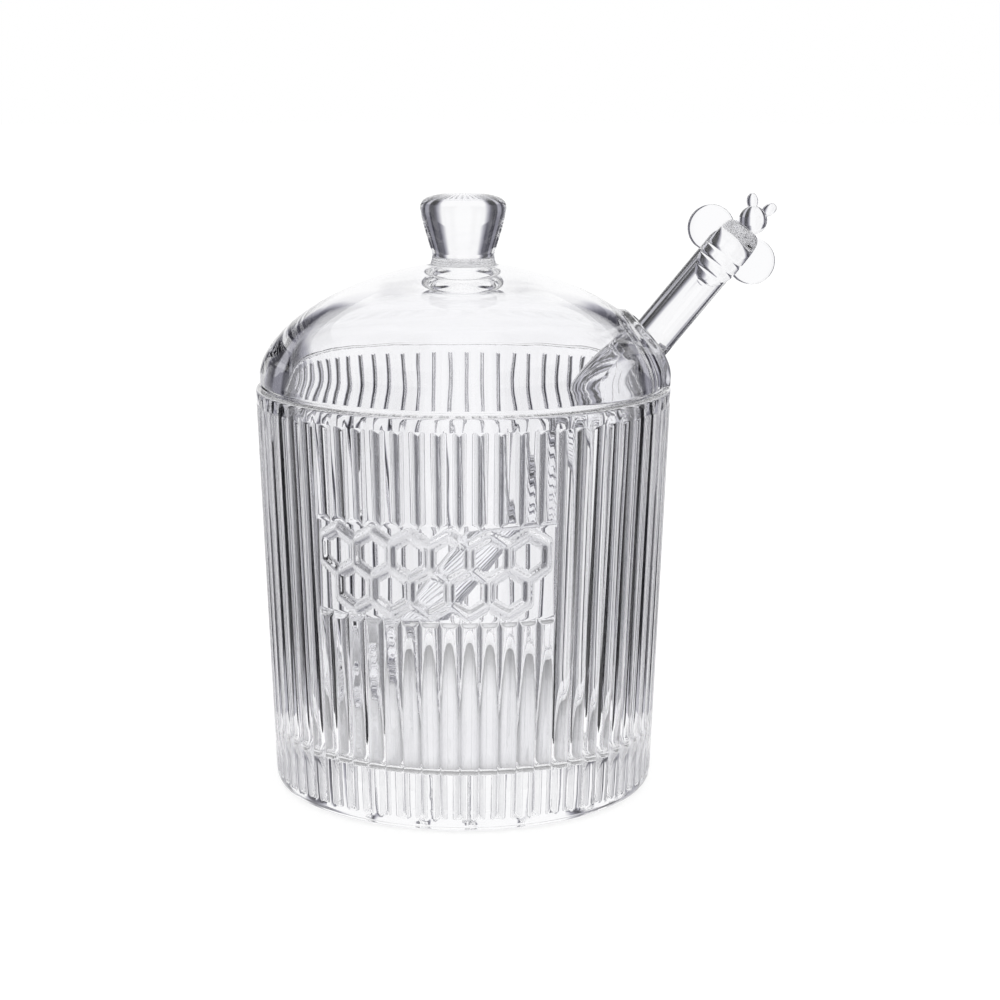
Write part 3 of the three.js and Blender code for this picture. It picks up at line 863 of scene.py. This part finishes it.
def make_floor(stage):
    """A plain pale floor just under the base, with a painted shadow where it lies right under the base. Only
    its middle shows through the glass.
    """
    pale = plain_material("pale_floor", stage.floor_colour, stage.floor_glow)
    height = -stage.floor_drop
    # A disc right under the base whose glow carries a painted contact shadow.
    shade = stage_disc("stage_floor_painted_shadow", stage.painted_shadow_radius, height)
    shade.data.materials.append(painted_shadow_material("painted_shadow_floor", stage))
    painted_shadow_edge, middle_edge, floor_edge = (
        (radius, height) for radius in (stage.painted_shadow_radius, stage.floor_middle, stage.floor_radius)
    )
    middle = stage_band("stage_floor_middle", painted_shadow_edge, middle_edge)
    around = stage_band("stage_floor", middle_edge, floor_edge)
    for sheet in (middle, around):
        sheet.data.materials.append(pale)
    around.visible_transmission = False
    around.visible_glossy = False


def absolute(nodes, links, value):
    """A value without its sign."""
    size = nodes.new("ShaderNodeMath")
    size.operation = "ABSOLUTE"
    links.new(value, size.inputs[0])
    return size.outputs["Value"]


def tent_material(name, stage, band_tones):
    """Light in the tones of one band of the tent: white before, behind and beside the pot, dimmer between."""
    material = bpy.data.materials.new(name)
    material.use_nodes = True
    nodes = material.node_tree.nodes
    links = material.node_tree.links
    nodes.clear()
    place = nodes.new("ShaderNodeTexCoord")
    parts = nodes.new("ShaderNodeSeparateXYZ")
    links.new(place.outputs["Object"], parts.inputs["Vector"])
    turn = nodes.new("ShaderNodeMath")
    turn.operation = "ARCTAN2"
    links.new(absolute(nodes, links, parts.outputs["X"]), turn.inputs[0])
    links.new(absolute(nodes, links, parts.outputs["Y"]), turn.inputs[1])
    share = nodes.new("ShaderNodeMapRange")
    share.inputs["From Max"].default_value = QUARTER_TURN
    links.new(turn.outputs["Value"], share.inputs["Value"])
    tones = nodes.new("ShaderNodeValToRGB")
    stops = tones.color_ramp.elements
    stops.remove(stops[-1])
    for degrees, _ in band_tones[1:]:
        stops.new(degrees / QUARTER_DEGREES)
    for stop, (_, tone) in zip(stops, band_tones):
        stop.color = (*(tone * (part + (1 - part) * tone) for part in stage.tent_tint), 1)
    links.new(share.outputs["Result"], tones.inputs["Fac"])
    glow = nodes.new("ShaderNodeEmission")
    links.new(tones.outputs["Color"], glow.inputs["Color"])
    out = nodes.new("ShaderNodeOutputMaterial")
    links.new(glow.outputs["Emission"], out.inputs["Surface"])
    return material


def make_tent(stage):
    """A light tent that draws the bright and dark lines in the glass, out of the camera's sight."""
    heights = (-stage.tent_depth, stage.tent_lower_seam, stage.tent_upper_seam, stage.tent_top)
    edges = [(stage.tent_radius, height) for height in heights]
    bands = (
        ("stage_tent_lower", LOWER_TONES),
        ("stage_tent_upper", UPPER_TONES),
        ("stage_tent_top", TOP_TONES),
    )
    for (name, tones), low, high in zip(bands, edges, edges[1:]):
        tent = stage_band(name, low, high)
        tent.data.materials.append(tent_material(name, stage, tones))
        tent.visible_camera = False
        tent.visible_shadow = False
        tent.visible_diffuse = False


def make_surround(stage):
    """An even white surround."""
    world = bpy.data.worlds.new("studio")
    bpy.context.scene.world = world
    world.use_nodes = True
    background = world.node_tree.nodes["Background"]
    background.inputs["Color"].default_value = WHITE
    background.inputs["Strength"].default_value = stage.light


def make_camera(stage):
    """The camera at the photograph's viewing angle."""
    camera = bpy.data.cameras.new("camera")
    camera.lens = stage.focal_length
    camera.shift_x = stage.camera_shift
    holder = bpy.data.objects.new("camera", camera)
    holder.location = (0, -stage.camera_back, stage.camera_height)
    holder.rotation_euler = (QUARTER_TURN - stage.camera_pitch, 0, 0)
    bpy.context.scene.collection.objects.link(holder)
    bpy.context.scene.camera = holder


class HONEYPOT_OT_make_pot(bpy.types.Operator):
    """Make the reeded glass pot with its honeycomb panel"""

    bl_idname = "honeypot.make_pot"
    bl_label = "Make pot"

    def execute(self, context):
        settings = context.scene.honey_pot
        piece = pot_piece(settings.pot)
        dress(piece, "pot", glass_material("pressed_glass_pot", settings.glass, POT_GRAIN))
        return {"FINISHED"}


class HONEYPOT_OT_make_lid(bpy.types.Operator):
    """Make the domed glass lid with its knob and notch"""

    bl_idname = "honeypot.make_lid"
    bl_label = "Make lid"

    def execute(self, context):
        settings = context.scene.honey_pot
        piece = lid_piece(settings.pot, settings.lid, settings.dipper)
        dress(piece, "lid", glass_material("pressed_glass_lid", settings.glass, LID_GRAIN))
        return {"FINISHED"}


class HONEYPOT_OT_make_dipper(bpy.types.Operator):
    """Make the glass dipper with its ringed head and bee"""

    bl_idname = "honeypot.make_dipper"
    bl_label = "Make dipper"

    def execute(self, context):
        settings = context.scene.honey_pot
        piece = dipper_piece(settings.pot, settings.dipper)
        dress(piece, "dipper", glass_material("drawn_glass_dipper", settings.glass, DIPPER_GRAIN))
        return {"FINISHED"}


class HONEYPOT_OT_make_stage(bpy.types.Operator):
    """Make the camera, the pale floor and the studio light"""

    bl_idname = "honeypot.make_stage"
    bl_label = "Make stage"

    def execute(self, context):
        stage = context.scene.honey_pot.stage
        make_floor(stage)
        make_tent(stage)
        make_surround(stage)
        make_camera(stage)
        scene = context.scene
        scene.view_settings.view_transform = "Standard"
        scene.cycles.max_bounces = GLASS_BOUNCES
        scene.cycles.transmission_bounces = GLASS_BOUNCES
        scene.cycles.glossy_bounces = GLOSSY_BOUNCES
        return {"FINISHED"}


OPERATORS = (
    HONEYPOT_OT_make_pot,
    HONEYPOT_OT_make_lid,
    HONEYPOT_OT_make_dipper,
    HONEYPOT_OT_make_stage,
)


class HONEYPOT_PT_parts(bpy.types.Panel):
    """Lists what makes the honey pot"""

    bl_label = "Honey pot"
    bl_space_type = "VIEW_3D"
    bl_region_type = "UI"
    bl_category = "Honey pot"

    def draw(self, context):
        for operator in OPERATORS:
            self.layout.operator(operator.bl_idname)


CLASSES = (
    PotSettings,
    LidSettings,
    DipperSettings,
    GlassSettings,
    StageSettings,
    HoneyPotSettings,
    *OPERATORS,
    HONEYPOT_PT_parts,
)


def register():
    for cls in CLASSES:
        bpy.utils.register_class(cls)
    bpy.types.Scene.honey_pot = PointerProperty(type=HoneyPotSettings)


def unregister():
    del bpy.types.Scene.honey_pot
    for cls in reversed(CLASSES):
        bpy.utils.unregister_class(cls)


def main():
    """Makes every piece and the stage."""
    register()
    bpy.ops.honeypot.make_pot()
    bpy.ops.honeypot.make_lid()
    bpy.ops.honeypot.make_dipper()
    bpy.ops.honeypot.make_stage()


if __name__ == "__main__":
    main()
